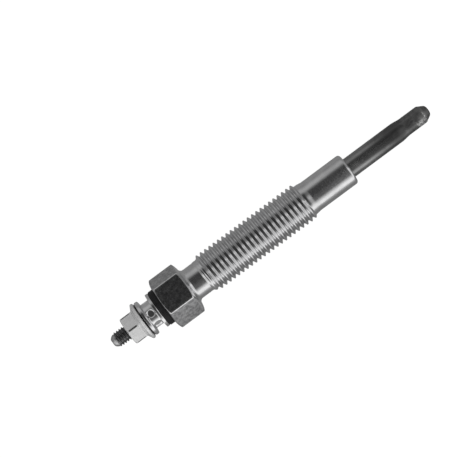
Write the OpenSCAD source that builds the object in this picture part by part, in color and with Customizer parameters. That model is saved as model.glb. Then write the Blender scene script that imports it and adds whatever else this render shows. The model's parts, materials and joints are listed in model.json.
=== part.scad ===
// Diesel glow plug with a sheathed heater, lying on a hexagon flat and its thread.
// Each piece is modelled along Z: Z = 0 is the hexagon's rear face, the heater points to +Z
// and the terminal to -Z. lay() then turns the piece into the resting pose. Millimetres.

/* [Terminal stud] */
// Major diameter of the terminal thread
stud_d = 4; // [3.8:0.1:5]
// Length of stud that stands free of the nut
stud_free_l = 4.6; // [3:0.1:10]
// Diameter of the flat at the stud's tip
stud_tip_d = 2; // [1:0.1:3]
// Length of the cone at the stud's tip
stud_tip_l = 1.1; // [0.5:0.1:2]
// Length of the relief between the stud's thread and the nut
stud_relief_l = 0.2; // [0.1:0.05:1]

/* [Terminal nut] */
// Width across the nut's flats
nut_af = 7; // [6:0.1:8]
// Height of the nut, with its flange
nut_h = 4.5; // [4:0.05:8]
// Diameter of the nut's flange
nut_flange_d = 9.7; // [9:0.1:12]
// Radius of the flange's round rim
nut_rim_round = 0.35; // [0.2:0.05:0.5]
// Slope of the flange between its rim and the nut's flats, in degrees
nut_flange_a = 26; // [20:1:40]
// Slope of the chamfer on the nut's free end, in degrees
nut_chamfer_a = 25; // [15:1:35]
// Gap that the nut leaves in front of the collar
nut_gap = 0.15; // [0.1:0.05:4]
// Angle by which the nut is turned on the stud, in degrees
nut_turn = 11.6; // [0:0.1:60]

/* [Crimp collar] */
// Diameter of the collar's two flanges
collar_d = 9.1; // [8:0.1:11]
// Thickness of each flange
collar_flange_h = 0.95; // [0.6:0.05:1.5]
// Diameter of the neck between the flanges
collar_neck_d = 6.5; // [6:0.1:7.5]
// Length of the neck
collar_neck_l = 2.3; // [2:0.1:4]
// Radius in the corners of the neck
collar_fillet = 0.25; // [0.1:0.05:0.5]
// Radius on the front edge of each flange
collar_round = 0.3; // [0.1:0.05:0.4]
// Number of punch marks round the neck
dimple_n = 6; // [3:1:8]
// Width of a punch mark at the neck's surface
dimple_d = 2; // [1:0.1:2.4]
// Depth of a punch mark
dimple_depth = 0.6; // [0.2:0.05:0.8]
// Angle by which the collar is turned on the rod, in degrees
collar_turn = 4; // [0:0.5:60]

/* [Insulating bush] */
// Diameter of the bush's flange
bush_d = 9.3; // [8.5:0.1:11]
// Thickness of the flange
bush_flange_h = 1.35; // [1:0.05:3]
// Chamfer on the flange's rear edge
bush_chamfer = 0.2; // [0.1:0.05:0.4]
// Radial play of the bush round the rod and in the housing
bush_play = 0.05; // [0.02:0.01:0.1]

/* [Hexagon] */
// Width across the flats
hex_af = 12; // [11:0.5:14]
// Length of the hexagon
hex_h = 7.65; // [5:0.05:12]
// Height turned off the hexagon's six corners
hex_corner_cut = 0.05; // [0.05:0.05:0.3]
// Distance from each flat in to the edge of the end faces
crown_in = 1.5; // [1.2:0.1:1.6]
// Radius of the crowned chamfer at both ends
crown_r = 5; // [3.5:0.1:7]
// Length of the broken edge at each flat's ends, here as long as the flat is wide
edge_break_l = 6.8; // [6.75:0.05:6.9]
// Radius between the hexagon and the neck
neck_fillet = 0.95; // [0.2:0.05:1]

/* [Barrel] */
// Diameter of the neck
neck_d = 8.1; // [7.6:0.1:8.4]
// Length from the hexagon to the thread's first full ridge
neck_l = 5.65; // [3:0.05:20]
// Major diameter of the housing thread
thread_d = 10; // [9.5:0.1:11]
// Pitch of the housing thread
thread_pitch = 1.25; // [1:0.05:1.5]
// Length of the full thread
thread_l = 27.7; // [20:0.1:40]
// Length of the run-out at each end of the thread
thread_run_l = 1.7; // [1.2:0.1:3]
// Diameter of the nose
nose_d = 8.1; // [7.6:0.1:8.4]
// Length from the thread's last full ridge to the nose's end
nose_l = 13.2; // [8:0.1:20]
// Radius on the nose's front edge
nose_round = 0.7; // [0.2:0.1:0.8]

/* [Housing bore] */
// Diameter of the bore round the rod
bore_d = 5.4; // [5.2:0.1:5.8]
// Diameter of the seal's counterbore
seal_bore_d = 7; // [6.6:0.1:7.6]
// Depth of the seal's counterbore
seal_bore_l = 4.2; // [3:0.1:5]
// Length of the narrower bore that grips the sheath
press_l = 18; // [16:0.5:22]
// Length of the cone that leads into it
press_lead_l = 0.5; // [0.2:0.1:1]

/* [Heater sheath] */
// Outer diameter of the sheath
sheath_d = 5; // [4.6:0.1:5.2]
// Length of sheath that stands out of the nose
sheath_out_l = 23.2; // [18:0.1:35]
// Length of sheath pressed into the nose
sheath_in_l = 15; // [10:0.5:16]
// Wall of the sheath
sheath_wall = 0.6; // [0.4:0.05:0.7]
// Outer diameter of the swaged front
sheath_tip_d = 4.5; // [4.4:0.1:5]
// Length of the swaged front, from its step to the tip
sheath_front_l = 6.7; // [5:0.1:12]
// Length of the step between the two diameters
swage_l = 2.6; // [1:0.1:3]
// Length of the tapered tip
tip_l = 2.1; // [1.6:0.05:2.2]
// Slope of the taper, in degrees
tip_a = 27; // [15:1:28]
// Radius that rounds the tip
tip_round = 0.8; // [0.6:0.05:1]
// Thickness of the welded tip
tip_weld_l = 1.3; // [0.8:0.1:1.5]
// Length of the ring that seals the sheath's open end
sheath_seal_l = 2.5; // [1.5:0.1:4]

/* [Terminal rod] */
// Diameter of the rod, where the nut and rod threads meet too
rod_d = 3.5; // [3.2:0.1:3.6]
// Diameter of the rod's end inside the sheath
rod_end_d = 2.6; // [2.5:0.1:3]
// Length of the cone between the two diameters
rod_step_l = 1; // [0.5:0.1:2]
// Distance from that cone to the sheath
rod_step_gap = 1.5; // [1:0.1:3]

/* [Coils] */
// Mean diameter of both coils
coil_d = 1.9; // [1.6:0.1:2]
// Diameter of the wire
wire_d = 0.35; // [0.25:0.05:0.4]
// Turns of the heating coil at the tip
heating_turns = 12; // [6:1:14]
// Pitch of the heating coil
heating_pitch = 0.6; // [0.5:0.05:0.7]
// Turns of the control coil behind it
control_turns = 9; // [5:1:10]
// Pitch of the control coil
control_pitch = 0.9; // [0.7:0.05:1]
// Length of the straight lead at the end of each coil
lead_l = 0.8; // [0.5:0.1:2]
// Radius of the bend from lead to coil
lead_bend = 0.4; // [0.3:0.05:0.6]

/* [Hidden] */
$fn = 96;

// Length by which a cutting shape passes the face that it opens
over = 1;
// Length by which a wire's channel passes the face that the wire is welded to
weld_over = 0.05;
// Length by which the neck's rounding starts under the hexagon's face
fillet_sunk = 0.05;

// Places along the axis, from the hexagon's rear face towards the terminal
collar_h = collar_neck_l + 2 * collar_flange_h;
z_collar = -bush_flange_h - collar_h;
z_nut = z_collar - nut_gap - nut_h;
z_stud = z_nut - stud_free_l;

// Places along the axis, from the hexagon's rear face towards the heater
z_thread = hex_h + neck_l;
z_thread_end = z_thread + thread_l;
z_nose = z_thread_end + nose_l;
z_press = z_nose - press_l;
z_sheath = z_nose - sheath_in_l;
z_tip = z_nose + sheath_out_l;
z_front = z_tip - sheath_front_l;
z_taper = z_tip - tip_l;
z_weld = z_tip - tip_weld_l;
z_rod_step = z_sheath - rod_step_gap - rod_step_l;

// Hexagon
hex_corner_r = hex_af / 2 / cos(30) - hex_corner_cut;
hex_face_r = hex_af / 2 - crown_in;
hex_break_r = norm([hex_af / 2, edge_break_l / 2]);
hex_break_h = crown_r - sqrt(crown_r ^ 2 - (hex_break_r - hex_face_r) ^ 2);

// Housing thread: each ridge's crest is an eighth of the pitch wide and each groove's floor a sixth,
// the flanks stand 30 degrees from square to the axis, and the last crest ends the thread
thread_crest_w = thread_pitch / 8;
thread_floor_w = thread_pitch / 6;
thread_flank_l = (thread_pitch - thread_crest_w - thread_floor_w) / 2;
thread_root_r = thread_d / 2 - thread_flank_l / tan(30);
thread_n = floor((thread_l - thread_crest_w) / thread_pitch) + 1;
z_first_crest = z_thread_end - thread_crest_w - (thread_n - 1) * thread_pitch;

// Nut: radius of its corners, and the chamfer's drop from its end face to a corner
nut_corner_r = nut_af / 2 / cos(30);
nut_chamfer_h = (nut_corner_r - nut_af / 2) * tan(nut_chamfer_a);

// Collar: radius of the ball that leaves a punch mark
dimple_r = ((dimple_d / 2) ^ 2 + dimple_depth ^ 2) / 2 / dimple_depth;

// Seal: section of the ring between the rod and its counterbore
o_ring_section = (seal_bore_d - rod_d) / 2;

// Sheath tip: where the taper runs into the rounding, and the rounding's centre
taper_end_z = z_tip - tip_round * (1 - sin(tip_a));
taper_end_r = sheath_tip_d / 2 - (taper_end_z - z_taper) * tan(tip_a);
tip_round_x = taper_end_r - tip_round * cos(tip_a);
weld_r = sheath_tip_d / 2 - (z_weld - z_taper) * tan(tip_a) - sheath_wall;

// Coils: rings of points per turn and per bend, and corners of the wire's section
turn_steps = 12;
bend_steps = 3;
wire_sides = 6;
heating_slope = atan(heating_pitch / PI / coil_d);
control_slope = atan(control_pitch / PI / coil_d);
joint_slope = (heating_slope + control_slope) / 2;
heating_path = coil_path(heating_turns, heating_pitch, heating_slope);
control_path = coil_path(control_turns, control_pitch, control_slope);
heating_end = heating_path[len(heating_path) - 1];
control_end = control_path[len(control_path) - 1];
z_rod_end = z_weld - heating_end[1] - control_end[1];
joint_turn = heating_end[0] + control_end[0];

// Resting pose: the hexagon's front edge and the thread's last crest touch the floor
z_hex_rest = hex_h - hex_break_h;
tilt = atan((hex_af - thread_d) / 2 / (z_thread_end - z_hex_rest));
lift = hex_af / 2 * cos(tilt) + z_hex_rest * sin(tilt);
z_middle = (z_stud + z_tip) / 2;

// A wire's way from its weld: straight lead, bend, then turns.
// Each entry is [angle round the axis, height above the weld, slope of the wire].
function coil_path(turns, pitch, slope) =
    let (
        bend = 90 - slope,
        bend_turn = bend_angle(bend),
        bend_z = lead_l + lead_bend * sin(bend),
        steps = turns * turn_steps
    )
    concat(
        [[0, 0, 90]],
        [for (k = [0:bend_steps])
            let (a = bend * k / bend_steps)
            [bend_angle(a), lead_l + lead_bend * sin(a), 90 - a]],
        [for (i = [1:steps])
            [
                bend_turn + 360 * i / turn_steps,
                bend_z + pitch * i / turn_steps,
                i < steps ? slope : joint_slope
            ]]
    );

// Angle round the axis that a bend of the wire through the angle a takes up
function bend_angle(a) = lead_bend * (1 - cos(a)) / (coil_d / 2) * 180 / PI;

function reversed(list) = [for (i = [len(list) - 1:-1:0]) list[i]];

// Corners of the wire's section at one entry of its path
function wire_ring(turn, z, slope) =
    [for (j = [0:wire_sides - 1])
        let (
            a = 360 * j / wire_sides,
            r = coil_d / 2 + wire_d / 2 * cos(a),
            side = wire_d / 2 * sin(a)
        )
        [
            r * cos(turn) - side * sin(slope) * sin(turn),
            r * sin(turn) + side * sin(slope) * cos(turn),
            z - side * cos(slope)
        ]];

// The control coil starts at the rod's end, and the heating coil ends at the sheath's tip
control_rings = [for (p = control_path) [p[0], z_rod_end + p[1], p[2]]];
heating_rings = reversed([for (p = heating_path) [joint_turn - p[0], z_weld - p[1], p[2]]]);

// The channel that both coils leave in the fill, a little longer at both welds
channel_rings = concat(
    [[0, z_rod_end - weld_over, 90]],
    control_rings,
    [for (i = [1:len(heating_rings) - 1]) heating_rings[i]],
    [[joint_turn, z_weld + weld_over, 90]]
);

// Lays a piece down in the resting pose
module lay() {
    translate([-z_middle * cos(tilt), 0, lift])
        rotate([0, 90 + tilt, 0])
            children();
}

// Quarter of a square that an inside corner's rounding fills
module corner_fillet(r) {
    difference() {
        square(r);
        translate([r, r])
            circle(r);
    }
}

// Sweeps the wire's section through the rings of its path
module wire(rings) {
    n = wire_sides;
    last = len(rings) - 1;
    polyhedron(
        points = [for (p = rings) each wire_ring(p[0], p[1], p[2])],
        faces = concat(
            [[for (j = [0:n - 1]) j]],
            [for (i = [0:last - 1], j = [0:n - 1])
                let (k = (j + 1) % n)
                each [
                    [i * n + j, i * n + n + j, i * n + n + k],
                    [i * n + j, i * n + n + k, i * n + k]
                ]],
            [[for (j = [n - 1:-1:0]) last * n + j]]
        )
    );
}

// Half section of the terminal rod
module rod_section() {
    polygon([
        [0, z_stud],
        [stud_tip_d / 2, z_stud],
        [stud_d / 2, z_stud + stud_tip_l],
        [stud_d / 2, z_nut - stud_relief_l],
        [rod_d / 2, z_nut - stud_relief_l],
        [rod_d / 2, z_rod_step],
        [rod_end_d / 2, z_rod_step + rod_step_l],
        [rod_end_d / 2, z_rod_end],
        [0, z_rod_end]
    ]);
}

// Half section of the space inside the sheath
module sheath_space() {
    polygon([
        [0, z_sheath - over],
        [sheath_d / 2 - sheath_wall, z_sheath - over],
        [sheath_d / 2 - sheath_wall, z_front - swage_l],
        [sheath_tip_d / 2 - sheath_wall, z_front],
        [sheath_tip_d / 2 - sheath_wall, z_taper],
        [weld_r, z_weld],
        [0, z_weld]
    ]);
}

// Section that crowns the hexagon's rear end
module crown_section() {
    square([hex_face_r, hex_h + over]);
    translate([0, crown_r])
        square([hex_face_r + crown_r, hex_h + over]);
    translate([hex_face_r, crown_r])
        circle(crown_r);
}

// Six-sided cone that breaks the edges at the hexagon's rear end by 45 degrees
module edge_break() {
    rotate(30)
        cylinder(
            h = hex_h,
            r1 = (hex_af / 2 - hex_break_h) / cos(30),
            r2 = (hex_af / 2 - hex_break_h + hex_h) / cos(30),
            $fn = 6
        );
}

module hexagon() {
    intersection() {
        linear_extrude(hex_h)
            intersection() {
                rotate(30)
                    circle(d = hex_af / cos(30), $fn = 6);
                circle(hex_corner_r);
            }
        rotate_extrude()
            intersection() {
                square([hex_af, hex_h]);
                crown_section();
                translate([0, hex_h])
                    mirror([0, 1])
                        crown_section();
            }
        edge_break();
        translate([0, 0, hex_h])
            mirror([0, 0, 1])
                edge_break();
    }
}

// Corners of one ridge of the housing thread, whose crest starts at z
function ridge(z) = [
    [thread_root_r, z - thread_flank_l],
    [thread_d / 2, z],
    [thread_d / 2, z + thread_crest_w],
    [thread_root_r, z + thread_crest_w + thread_flank_l]
];

// Half section of the housing's turned part, from inside the hexagon to the nose.
// The thread is drawn as rings, and 45 degree cones run its core out to the neck and the nose.
module barrel_section() {
    polygon([
        [0, hex_h / 2],
        [neck_d / 2, hex_h / 2],
        [neck_d / 2, z_thread - thread_run_l],
        [thread_root_r, z_thread - thread_run_l + abs(thread_root_r - neck_d / 2)],
        for (i = [0:thread_n - 1]) each ridge(z_first_crest + i * thread_pitch),
        [thread_root_r, z_thread_end + thread_run_l - abs(thread_root_r - nose_d / 2)],
        [nose_d / 2, z_thread_end + thread_run_l],
        [nose_d / 2, z_nose - nose_round],
        [nose_d / 2 - nose_round, z_nose],
        [0, z_nose]
    ]);
    translate([nose_d / 2 - nose_round, z_nose - nose_round])
        circle(nose_round);
    translate([neck_d / 2, hex_h - fillet_sunk])
        corner_fillet(neck_fillet);
}

// Half section of the housing's stepped bore
module bore_section() {
    polygon([
        [0, -over],
        [seal_bore_d / 2, -over],
        [seal_bore_d / 2, seal_bore_l],
        [bore_d / 2, seal_bore_l],
        [bore_d / 2, z_press - press_lead_l],
        [sheath_d / 2, z_press],
        [sheath_d / 2, z_nose + over],
        [0, z_nose + over]
    ]);
}

module terminal_rod() {
    color("dimgray")
        lay()
            rotate_extrude()
                rod_section();
}

module flange_nut() {
    flange_r = nut_flange_d / 2;
    color("silver")
        lay()
            translate([0, 0, z_nut])
                difference() {
                    union() {
                        intersection() {
                            rotate(nut_turn)
                                cylinder(h = nut_h, r = nut_corner_r, $fn = 6);
                            cylinder(
                                h = nut_h,
                                r1 = nut_af / 2,
                                r2 = nut_af / 2 + nut_h / tan(nut_chamfer_a)
                            );
                        }
                        translate([0, 0, nut_h])
                            mirror([0, 0, 1])
                                rotate_extrude()
                                    flange_section(flange_r);
                    }
                    translate([0, 0, -over])
                        cylinder(h = nut_h + 2 * over, d = rod_d);
                }
}

// Half section of the nut's flange, standing on its seating face
module flange_section(r) {
    rim_x = r - nut_rim_round;
    slope_x = rim_x + nut_rim_round * sin(nut_flange_a);
    slope_y = nut_rim_round * (1 + cos(nut_flange_a));
    top_y = slope_y + (slope_x - nut_af / 2) * tan(nut_flange_a);
    polygon([
        [0, 0],
        [rim_x, 0],
        [rim_x, nut_rim_round],
        [slope_x, slope_y],
        [nut_af / 2, top_y],
        [0, top_y]
    ]);
    translate([rim_x, nut_rim_round])
        circle(nut_rim_round);
}

// Half section of one of the collar's flanges, with its front edge rounded
module collar_flange_section() {
    r = collar_d / 2;
    polygon([
        [0, 0],
        [r, 0],
        [r, collar_flange_h - collar_round],
        [r - collar_round, collar_flange_h],
        [0, collar_flange_h]
    ]);
    translate([r - collar_round, collar_flange_h - collar_round])
        circle(collar_round);
}

module crimp_collar() {
    neck_r = collar_neck_d / 2;
    color("lightgray")
        lay()
            translate([0, 0, z_collar])
                difference() {
                    rotate_extrude() {
                        collar_flange_section();
                        square([neck_r, collar_h]);
                        translate([0, collar_h - collar_flange_h])
                            collar_flange_section();
                        translate([neck_r, collar_flange_h])
                            corner_fillet(collar_fillet);
                        translate([neck_r, collar_h - collar_flange_h])
                            mirror([0, 1])
                                corner_fillet(collar_fillet);
                    }
                    translate([0, 0, -over])
                        cylinder(h = collar_h + 2 * over, d = rod_d);
                    for (i = [0:dimple_n - 1])
                        rotate(collar_turn + 360 * i / dimple_n)
                            translate([neck_r - dimple_depth + dimple_r, 0, collar_h / 2])
                                rotate([0, 90, 0])
                                    sphere(dimple_r);
                }
}

module insulating_bush() {
    spigot_l = seal_bore_l - o_ring_section;
    inner_r = rod_d / 2 + bush_play;
    spigot_r = seal_bore_d / 2 - bush_play;
    color("#1c1c1e")
        lay()
            rotate_extrude()
                polygon([
                    [inner_r, -bush_flange_h],
                    [bush_d / 2 - bush_chamfer, -bush_flange_h],
                    [bush_d / 2, -bush_flange_h + bush_chamfer],
                    [bush_d / 2, 0],
                    [spigot_r, 0],
                    [spigot_r, spigot_l],
                    [inner_r, spigot_l]
                ]);
}

module o_ring() {
    color("#2a2522")
        lay()
            translate([0, 0, seal_bore_l - o_ring_section / 2])
                rotate_extrude()
                    translate([(seal_bore_d + rod_d) / 4, 0])
                        circle(d = o_ring_section);
}

module housing() {
    color("gainsboro")
        lay()
            difference() {
                union() {
                    hexagon();
                    rotate_extrude()
                        barrel_section();
                }
                rotate_extrude()
                    bore_section();
            }
}

module heater_sheath() {
    color("#4b4948")
        lay()
            rotate_extrude()
                difference() {
                    union() {
                        polygon([
                            [0, z_sheath],
                            [sheath_d / 2, z_sheath],
                            [sheath_d / 2, z_front - swage_l],
                            [sheath_tip_d / 2, z_front],
                            [sheath_tip_d / 2, z_taper],
                            [taper_end_r, taper_end_z],
                            [tip_round_x, z_tip],
                            [0, z_tip]
                        ]);
                        intersection() {
                            translate([tip_round_x, z_tip - tip_round])
                                circle(tip_round);
                            translate([0, z_weld])
                                square([sheath_tip_d, tip_weld_l]);
                        }
                    }
                    sheath_space();
                }
}

module sheath_seal() {
    color("#5a3a2c")
        lay()
            rotate_extrude()
                translate([rod_end_d / 2, z_sheath])
                    square([sheath_d / 2 - sheath_wall - rod_end_d / 2, sheath_seal_l]);
}

module magnesia_fill() {
    color("ivory")
        lay()
            difference() {
                rotate_extrude()
                    difference() {
                        intersection() {
                            sheath_space();
                            translate([0, z_sheath + sheath_seal_l])
                                square([sheath_d, z_tip - z_sheath]);
                        }
                        rod_section();
                    }
                wire(channel_rings);
            }
}

module control_coil() {
    color("slategray")
        lay()
            wire(control_rings);
}

module heating_coil() {
    color("darkkhaki")
        lay()
            wire(heating_rings);
}

terminal_rod();
flange_nut();
crimp_collar();
insulating_bush();
o_ring();
housing();
heater_sheath();
sheath_seal();
magnesia_fill();
control_coil();
heating_coil();
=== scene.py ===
import json
import math

import bpy
import numpy as np
from mathutils import Matrix, Vector


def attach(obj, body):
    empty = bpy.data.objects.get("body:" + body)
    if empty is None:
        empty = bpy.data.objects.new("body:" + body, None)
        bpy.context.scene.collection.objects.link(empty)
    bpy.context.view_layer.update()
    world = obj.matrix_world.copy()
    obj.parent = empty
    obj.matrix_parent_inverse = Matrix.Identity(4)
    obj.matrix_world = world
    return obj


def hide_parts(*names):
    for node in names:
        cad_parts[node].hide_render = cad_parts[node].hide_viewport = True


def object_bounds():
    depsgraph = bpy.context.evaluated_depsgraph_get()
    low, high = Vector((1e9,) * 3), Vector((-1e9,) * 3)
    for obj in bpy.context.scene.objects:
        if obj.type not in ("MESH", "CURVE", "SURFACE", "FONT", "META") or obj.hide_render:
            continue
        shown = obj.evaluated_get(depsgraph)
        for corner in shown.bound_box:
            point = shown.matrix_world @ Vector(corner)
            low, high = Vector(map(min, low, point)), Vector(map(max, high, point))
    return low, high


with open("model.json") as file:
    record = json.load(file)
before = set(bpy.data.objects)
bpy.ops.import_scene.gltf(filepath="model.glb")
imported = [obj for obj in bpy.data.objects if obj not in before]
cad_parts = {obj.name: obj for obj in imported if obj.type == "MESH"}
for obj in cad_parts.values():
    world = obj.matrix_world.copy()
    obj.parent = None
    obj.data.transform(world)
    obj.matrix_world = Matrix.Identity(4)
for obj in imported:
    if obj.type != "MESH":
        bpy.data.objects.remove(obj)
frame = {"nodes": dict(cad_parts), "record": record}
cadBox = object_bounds()
scene = bpy.context.scene
scene.view_settings.view_transform = "Standard"
mm = 0.001
fullTurn = 2 * math.pi
halfSector = math.pi / 6  # from the middle of a hexagon's flat to its corner
print("frame loaded with", len(frame["nodes"]), "solids")

# the plug's own axes: along runs from the terminal to the heater tip, up stands square on the hexagon's
# top flat, across points to the side the camera leans to; lengths along the axis are in mm and count
# from the hexagon's rear face, and threadMiddle is where the thread's mount lies
plugPlace = {"threadMiddle": 27.171875}
threadMount = next(m for m in frame["record"]["mounts"] if m["name"] == "housing_thread")
along = np.array(threadMount["axis"], float)
along /= np.linalg.norm(along)
across = np.array([0.0, -1.0, 0.0])
up = np.cross(across, along)
zeroPoint = np.array(threadMount["pos_m"], float) - mm * plugPlace["threadMiddle"] * along
dip = math.atan2(-along[2], along[0])


# point of the plug: s along the axis, r out from it, at the angle a turned from up towards across
def onPlug(s, r, a):
    s, r, a = np.broadcast_arrays(s, r, a)
    out = np.cos(a)[..., None] * up + np.sin(a)[..., None] * across
    return zeroPoint + mm * (s[..., None] * along + r[..., None] * out)


# eased step from 0 to 1: three x squared less two x cubed
def eased(x):
    x = np.clip(x, 0.0, 1.0)
    return x * x * (3.0 - 2.0 * x)


# corners (s, r, cut) to a smooth outline: each corner gives way to a parabola that starts and ends cut mm
# from it, or just short of the side's middle; points that fall together are kept once
def softOutline(corners, closed, steps=6, mostOfSide=0.49, together=1e-6, noLength=1e-12):
    corners = np.array(corners, float)
    points, cut = corners[:, :2], corners[:, 2].copy()
    if not closed:
        cut[[0, -1]] = 0.0

    def cutPoints(way):  # where the cut meets the side before (1) or after (-1) each corner
        side = np.roll(points, way, axis=0) - points
        length = np.linalg.norm(side, axis=1) + noLength
        return points + side * np.minimum(cut / length, mostOfSide)[:, None]

    first, last = cutPoints(1), cutPoints(-1)
    t = np.linspace(0.0, 1.0, steps)[None, :, None]
    curve = (1 - t) ** 2 * first[:, None] + 2 * t * (1 - t) * points[:, None] + t ** 2 * last[:, None]
    curve = curve.reshape(-1, 2)
    step = np.linalg.norm(curve - np.roll(curve, 1, axis=0), axis=1)
    keep = step > together
    keep[0] = keep[0] or not closed
    return curve[keep]


# grid of points (rows, columns, xyz) to a closed mesh: columns run round and meet, rows meet too when ring
# is on, and otherwise each end row is shut by a fan; faces are turned outwards by the sign of the enclosed
# volume, and edges that bend by more than sharp degrees are shaded sharp
def gridPiece(name, points, ring, sharp=32.0):
    rows, columns = points.shape[:2]
    index = np.arange(rows * columns).reshape(rows, columns)
    beside = np.roll(index, -1, axis=1)
    verts = points.reshape(-1, 3)
    if ring:
        quads = np.stack([index, beside, np.roll(beside, -1, axis=0), np.roll(index, -1, axis=0)], axis=-1)
        fans = np.zeros((0, 3), int)
    else:
        quads = np.stack([index[:-1], beside[:-1], beside[1:], index[1:]], axis=-1)
        start, end = rows * columns, rows * columns + 1
        fans = np.concatenate([
            np.stack([np.full(columns, start), beside[0], index[0]], axis=-1),
            np.stack([np.full(columns, end), index[-1], beside[-1]], axis=-1)])
        verts = np.concatenate([verts, points[0].mean(axis=0)[None], points[-1].mean(axis=0)[None]])
    quads = quads.reshape(-1, 4)
    corner = verts - verts.mean(axis=0)
    triangles = np.concatenate([quads[:, [0, 1, 2]], quads[:, [0, 2, 3]], fans])
    volume = np.einsum("ij,ij->i", corner[triangles[:, 0]],
                       np.cross(corner[triangles[:, 1]], corner[triangles[:, 2]])).sum()
    if volume < 0:
        quads, fans = quads[:, ::-1], fans[:, ::-1]
    loops = np.concatenate([quads.ravel(), fans.ravel()]).astype(np.int32)
    starts = np.concatenate([4 * np.arange(len(quads)), 4 * len(quads) + 3 * np.arange(len(fans))])
    mesh = bpy.data.meshes.new(name)
    mesh.vertices.add(len(verts))
    mesh.vertices.foreach_set("co", verts.astype(np.float32).ravel())
    mesh.loops.add(len(loops))
    mesh.loops.foreach_set("vertex_index", loops)
    mesh.polygons.add(len(starts))
    mesh.polygons.foreach_set("loop_start", starts.astype(np.int32))
    mesh.polygons.foreach_set("use_smooth", np.ones(len(starts), bool))
    mesh.update(calc_edges=True)
    mesh.validate()
    mesh.set_sharp_from_angle(angle=math.radians(sharp))
    piece = bpy.data.objects.new(name, mesh)
    scene.collection.objects.link(piece)
    return piece


# turned piece: the outline (s, r) carried round the axis
def turnedPiece(name, outline, ring, columns):
    a = np.linspace(0.0, fullTurn, columns, endpoint=False)[None, :]
    return gridPiece(name, onPlug(outline[:, :1], outline[:, 1:], a), ring)


# piece of rows (s, r), each of numbers or of arrays over the columns, which stand at the angles a
def rowsPiece(name, rows, a):
    s, r = (np.array([np.broadcast_to(row[part], a.shape) for row in rows]) for part in (0, 1))
    return gridPiece(name, onPlug(s, r, a[None]), True)


# rounded corner of a hexagon: how far from the axis the middle of its circle lies, and the angle at the
# axis from the corner to where the circle touches a flat
def hexagonCorner(flat, bend):
    centre = (flat - bend) / math.cos(halfSector)
    return centre, math.atan2(bend / 2, centre + bend * math.cos(halfSector))


# radius of a hexagon with rounded corners, by the angle a: flat over the cosine of the angle from the
# nearest flat, and near a corner the far side of a circle of radius bend that touches both flats
def hexagonRadius(a, flat, bend, turn):
    fromFlat = np.mod(a - turn + halfSector, 2 * halfSector) - halfSector
    fromCorner = halfSector - np.abs(fromFlat)
    centre, reach = hexagonCorner(flat, bend)
    aside = centre * np.sin(fromCorner)
    arc = centre * np.cos(fromCorner) + np.sqrt(np.maximum(bend ** 2 - aside ** 2, 0.0))
    return np.where(fromCorner < reach, arc, flat / np.cos(fromFlat))


# angles of a hexagonal piece's columns: close together over the six rounded corners, wider on the flats
def hexagonColumns(flat, bend, turn, cornerSteps=9, flatSteps=15):
    reach = hexagonCorner(flat, bend)[1]
    sector = np.concatenate([np.linspace(-reach, reach, cornerSteps),
                             np.linspace(reach, 2 * halfSector - reach, flatSteps)[1:-1]])
    corners = turn + halfSector + 2 * halfSector * np.arange(6)
    return (corners[:, None] + sector[None, :]).ravel()


# rows of a parabola between two row points by way of a third: all are (s, r) pairs of arrays
def softRows(first, corner, last, steps):
    t = np.linspace(0.0, 1.0, steps)[:, None]
    s, r = ((1 - t) ** 2 * p + 2 * t * (1 - t) * q + t ** 2 * e for p, q, e in zip(first, corner, last))
    return list(zip(s, r))


# screw ridge: rounded crest and two straight flanks, which stand flank degrees off square to the axis and
# run on below the root, carried along a right-hand helix whose crest passes straight above the axis at
# crestAt: angle = turns past crestAt; both ends sink
def screwRidge(name, screw):
    steps = int((screw["end"] - screw["start"]) / screw["pitch"] * screw["stepsPerTurn"]) + 1
    s = np.linspace(screw["start"], screw["end"], steps)[:, None]
    a = fullTurn * (s - screw["crestAt"]) / screw["pitch"]
    fromEnds = np.minimum((s - screw["start"]) / screw["startRun"], (screw["end"] - s) / screw["endRun"])
    deep = screw["root"] - screw["sunk"]
    facing = 90.0 - screw["flank"]
    bow = np.radians(np.linspace(facing, -facing, screw["crestSteps"]))  # direction the rounded crest faces
    wide = screw["crestRound"] * np.sin(bow)
    tall = screw["crest"] - screw["crestRound"] * (1 - np.cos(bow))
    foot = wide[0] + (tall[0] - deep) * math.tan(math.radians(screw["flank"]))
    wide = np.concatenate([[foot], wide, [-foot]])
    tall = np.concatenate([[deep], tall, [deep]])
    radius = deep + (tall[None, :] - deep) * eased(fromEnds)
    return gridPiece(name, onPlug(s + wide[None, :], radius, a), False, screw["sharp"])


# terminal rod: stud with a domed cone tip, core of the thread, and the rod that runs inside to the coils
rodShape = {
    "tip": -14.79, "tipRadius": 0.95, "tipSoft": 0.17, "domeEnd": -14.45, "domeRadius": 1.3, "domeSoft": 0.2,
    "coneEnd": -13.84, "coneRadius": 1.66, "coneSoft": 0.25, "coneRun": 0.25, "coreRadius": 1.57,
    "relief": -10.4, "reliefRun": 0.1, "reliefSoft": 0.08, "rodRadius": 1.745, "step": 36.7, "stepEnd": 37.7,
    "endRadius": 1.295, "end": 58.4, "soft": 0.1, "columns": 72,
}


def makeRod(r):
    outline = softOutline([
        (r["tip"], 0.0, 0.0),
        (r["tip"], r["tipRadius"], r["tipSoft"]),
        (r["domeEnd"], r["domeRadius"], r["domeSoft"]),
        (r["coneEnd"], r["coneRadius"], r["coneSoft"]),
        (r["coneEnd"] + r["coneRun"], r["coreRadius"], r["soft"]),
        (r["relief"] - r["reliefRun"], r["coreRadius"], r["soft"]),
        (r["relief"] + r["reliefRun"], r["rodRadius"], r["reliefSoft"]),
        (r["step"], r["rodRadius"], r["soft"]),
        (r["stepEnd"], r["endRadius"], r["soft"]),
        (r["end"], r["endRadius"], 0.0),
        (r["end"], 0.0, 0.0)], False)
    return turnedPiece("terminalRod", outline, False, r["columns"])


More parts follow.
